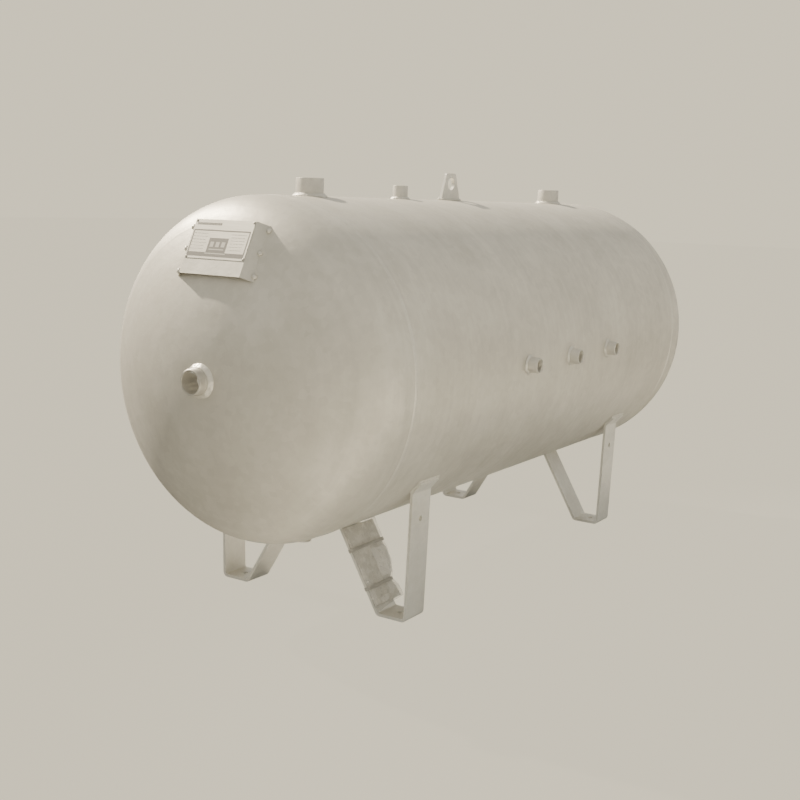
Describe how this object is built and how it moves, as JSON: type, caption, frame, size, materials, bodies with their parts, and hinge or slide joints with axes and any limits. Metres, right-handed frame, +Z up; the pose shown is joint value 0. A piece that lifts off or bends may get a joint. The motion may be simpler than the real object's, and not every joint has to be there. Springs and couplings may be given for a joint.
{
  "type": "horizontal air receiver tank",
  "caption": "Horizontal galvanised air receiver: dished-end cylindrical vessel on bent flat-bar legs, with threaded sockets, pipe nipples, lifting lug, nameplate bracket and document pouch.",
  "frame": {"origin": "on the floor below the middle of the shell, at the centre of the four foot holes", "axes": "+X along the tank towards the plain end, +Z up; the nameplate is at -X and the three gauge sockets are on the -Y side"},
  "size_m": [2.0732, 0.8316, 1.074],
  "materials": {
    "galvanised_steel": "hot-dip galvanised, satin with spangle",
    "galvanised_weld": "galvanised weld bead",
    "nameplate_aluminium": null,
    "rivet_aluminium": "plain",
    "document_paper": "papers in clear film",
    "black_nylon": "moulded"
  },
  "bodies": {
    "root": {"shell": "galvanised_steel", "front_head": "galvanised_steel", "rear_head": "galvanised_steel", "front_nipple": "galvanised_steel", "rear_nipple": "galvanised_steel", "lifting_lug": "galvanised_steel", "nameplate_bracket": "galvanised_steel", "top_socket_front": "galvanised_steel", "top_socket_gauge": "galvanised_steel", "top_socket_rear": "galvanised_steel", "drain_socket": "galvanised_steel", "side_socket_1": "galvanised_steel", "side_socket_2": "galvanised_steel", "side_socket_3": "galvanised_steel", "leg_front_right": "galvanised_steel", "leg_front_left": "galvanised_steel", "leg_rear_right": "galvanised_steel", "leg_rear_left": "galvanised_steel", "shell_long_weld": "galvanised_weld", "front_seam_weld": "galvanised_weld", "rear_seam_weld": "galvanised_weld", "front_nipple_weld": "galvanised_weld", "rear_nipple_weld": "galvanised_weld", "lifting_lug_welds": "galvanised_weld", "nameplate_bracket_tacks": "galvanised_weld", "top_socket_front_weld": "galvanised_weld", "top_socket_gauge_weld": "galvanised_weld", "top_socket_rear_weld": "galvanised_weld", "drain_socket_weld": "galvanised_weld", "side_socket_1_weld": "galvanised_weld", "side_socket_2_weld": "galvanised_weld", "side_socket_3_weld": "galvanised_weld", "leg_front_right_welds": "galvanised_weld", "leg_front_left_welds": "galvanised_weld", "leg_rear_right_welds": "galvanised_weld", "leg_rear_left_welds": "galvanised_weld", "nameplate": "nameplate_aluminium", "nameplate_rivets": "rivet_aluminium", "document_pouch": "document_paper", "cable_tie_upper": "black_nylon", "cable_tie_lower": "black_nylon"}
  },
  "joints": []
}
